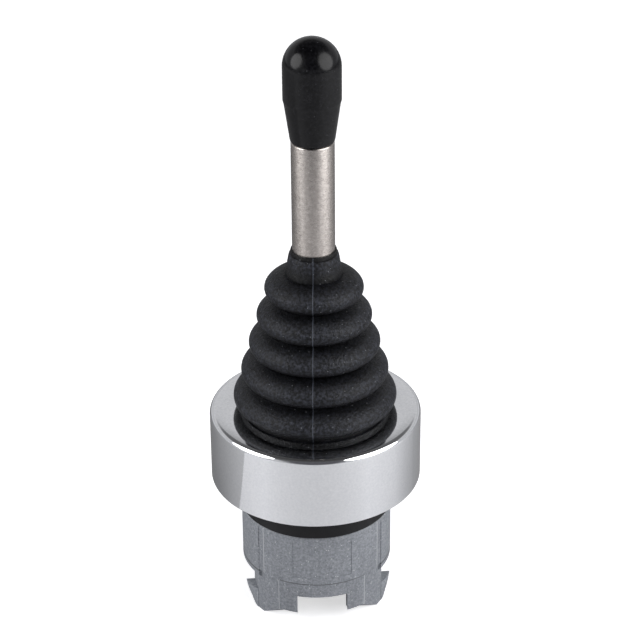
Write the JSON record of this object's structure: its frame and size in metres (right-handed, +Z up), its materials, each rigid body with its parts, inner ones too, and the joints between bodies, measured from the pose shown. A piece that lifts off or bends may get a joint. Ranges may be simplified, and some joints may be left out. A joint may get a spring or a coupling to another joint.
{
  "type": "industrial joystick head",
  "caption": "Panel-mount joystick head with a spring-return lever in a rubber bellows, chrome bezel, die-cast body with bayonet lugs, and a gimbal that pushes four plungers.",
  "frame": {"origin": "centre of the bounding box's lower face: the plane that the feet of the die-cast body stand on, on the lever's axis at rest", "axes": "+Z up along the lever, -Y to the front of the head, where the locating notch and the bare label field are, +X to the right seen from the front; the panel's front face is the plane z = 18.7 mm"},
  "size_m": [0.0304, 0.0304, 0.0862],
  "materials": {
    "zinc": "matte tumbled zinc die casting, fine grain",
    "chrome": "polished bright chrome plate",
    "gasket_rubber": "smooth black sealing rubber",
    "bellows_rubber": "matte blue-black moulded rubber, fine grain, thin parting line",
    "rod_steel": "satin ground nickel-plated steel",
    "bright_steel": "zinc-plated steel",
    "spring_steel": "drawn spring wire",
    "knob_plastic": "glossy black moulded plastic",
    "guide_plastic": "black glass-filled nylon",
    "plunger_plastic": "natural white acetal",
    "brass": "turned brass"
  },
  "bodies": {
    "housing": {"body_casting": "zinc", "bezel": "chrome", "panel_gasket": "gasket_rubber", "bellows": "bellows_rubber", "clamp_washer": "bright_steel", "trunnion_pins": "bright_steel", "spring_right": "spring_steel", "spring_left": "spring_steel", "spring_front": "spring_steel", "spring_rear": "spring_steel", "gate_plate": "bright_steel", "plunger_guide": "guide_plastic", "retaining_ring": "spring_steel"},
    "gimbal": {"gimbal_ring": "bright_steel", "rocker_pins": "bright_steel"},
    "lever": {"rocker_disc": "bright_steel", "lever_rod": "rod_steel", "lever_washer": "bright_steel", "lever_nut": "bright_steel", "knob": "knob_plastic", "knob_insert": "brass"},
    "right_plunger": {"plunger_right": "plunger_plastic"},
    "left_plunger": {"plunger_left": "plunger_plastic"},
    "front_plunger": {"plunger_front": "plunger_plastic"},
    "rear_plunger": {"plunger_rear": "plunger_plastic"}
  },
  "joints": [
    {"name": "tilt_fore_aft", "type": "hinge", "parent": "housing", "child": "gimbal", "pos_m": [0, 0, 0.0238], "axis": [1, 0, 0], "range_deg": [-12, 12], "stiffness_Nm_per_rad": 0.6, "deforming": ["bellows"]},
    {"name": "tilt_left_right", "type": "hinge", "parent": "gimbal", "child": "lever", "pos_m": [0, 0, 0.0238], "axis": [0, 1, 0], "range_deg": [-12, 12], "stiffness_Nm_per_rad": 0.6},
    {"name": "press_right", "type": "slide", "parent": "housing", "child": "right_plunger", "axis": [0, 0, -1], "range_m": [-0.00135, 0.00135], "deforming": ["spring_right"]},
    {"name": "press_left", "type": "slide", "parent": "housing", "child": "left_plunger", "axis": [0, 0, -1], "range_m": [-0.00135, 0.00135], "deforming": ["spring_left"]},
    {"name": "press_front", "type": "slide", "parent": "housing", "child": "front_plunger", "axis": [0, 0, -1], "range_m": [-0.00135, 0.00135], "deforming": ["spring_front"]},
    {"name": "press_rear", "type": "slide", "parent": "housing", "child": "rear_plunger", "axis": [0, 0, -1], "range_m": [-0.00135, 0.00135], "deforming": ["spring_rear"]}
  ],
  "couplings": [
    {"joint": "press_right", "follows": "tilt_left_right", "m_per_rad": 0.0063},
    {"joint": "press_left", "follows": "tilt_left_right", "m_per_rad": -0.0063},
    {"joint": "press_front", "follows": "tilt_fore_aft", "m_per_rad": 0.0063},
    {"joint": "press_rear", "follows": "tilt_fore_aft", "m_per_rad": -0.0063}
  ]
}
